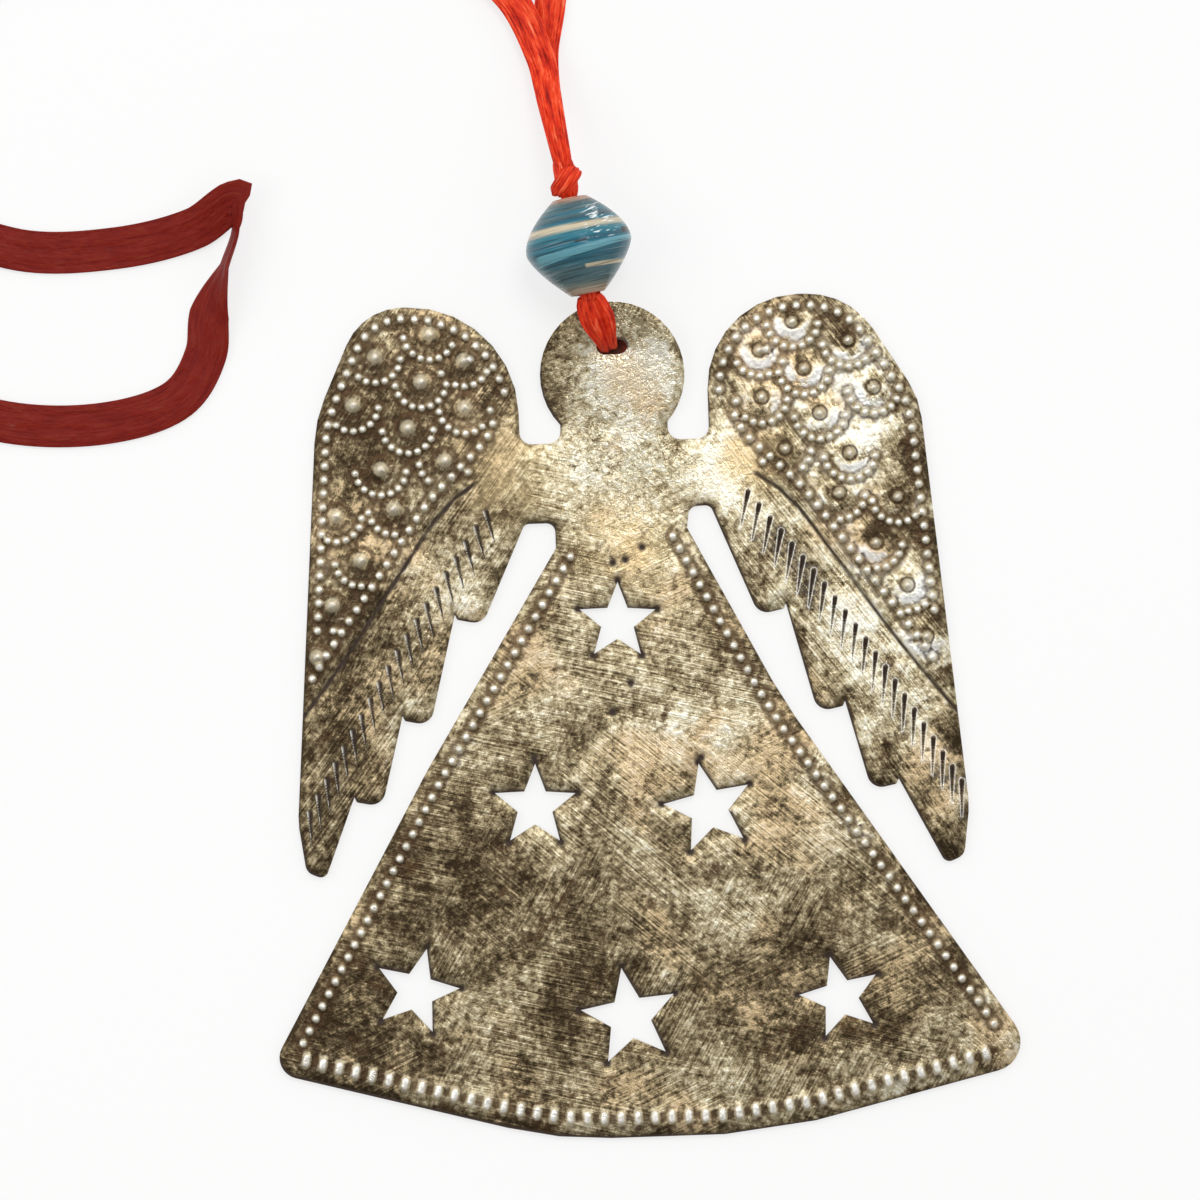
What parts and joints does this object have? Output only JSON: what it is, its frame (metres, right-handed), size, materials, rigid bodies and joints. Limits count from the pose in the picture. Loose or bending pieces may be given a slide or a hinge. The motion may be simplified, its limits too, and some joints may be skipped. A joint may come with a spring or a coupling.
{
  "type": "hanging ornament",
  "caption": "Flat chiselled sheet-steel angel with punched wings and star cut-outs, hung from a satin ribbon loop through a rolled paper bead.",
  "frame": {"origin": "point on the sheet's flat back, in the skirt below the top star and close to the middle line", "axes": "+Y from the hem towards the head and the hanging ribbon, +Z out of the worked face, +X to the viewer's right of the face"},
  "size_m": [0.1803, 0.2018, 0.016],
  "materials": {
    "steel_sheet": "hand-worked recycled sheet, olive-brown patina rubbed to pale champagne, clear coat",
    "ribbon": "red satin",
    "paper": "varnished rolled paper in teal, pale blue and cream"
  },
  "bodies": {
    "plate": {"angel_plate": "steel_sheet"},
    "hitch": {"ribbon_hitch": "ribbon"},
    "hanger": {"ribbon_core": "ribbon", "ribbon_knot": "ribbon"},
    "bead": {"paper_bead": "paper"},
    "loop": {"ribbon_loop": "ribbon"}
  },
  "joints": [
    {"name": "ribbon_sway", "type": "hinge", "parent": "plate", "child": "hitch", "pos_m": [-0.00075, 0.0554, 0.0022], "axis": [0, 0, 1], "range_deg": [-15, 15]},
    {"name": "hanger_swing", "type": "hinge", "parent": "hitch", "child": "hanger", "pos_m": [-0.00311, 0.06266, 0.00805], "axis": [0.9877, 0.1564, 0], "range_deg": [-8, 90]},
    {"name": "bead_spin", "type": "hinge", "parent": "hanger", "child": "bead", "pos_m": [-0.00434, 0.07046, 0.00805], "axis": [-0.1564, 0.9877, 0], "continuous": true},
    {"name": "loop_bend", "type": "hinge", "parent": "hanger", "child": "loop", "pos_m": [-0.00606, 0.08133, 0.00805], "axis": [0.9877, 0.1564, 0], "range_deg": [0, 80]}
  ]
}
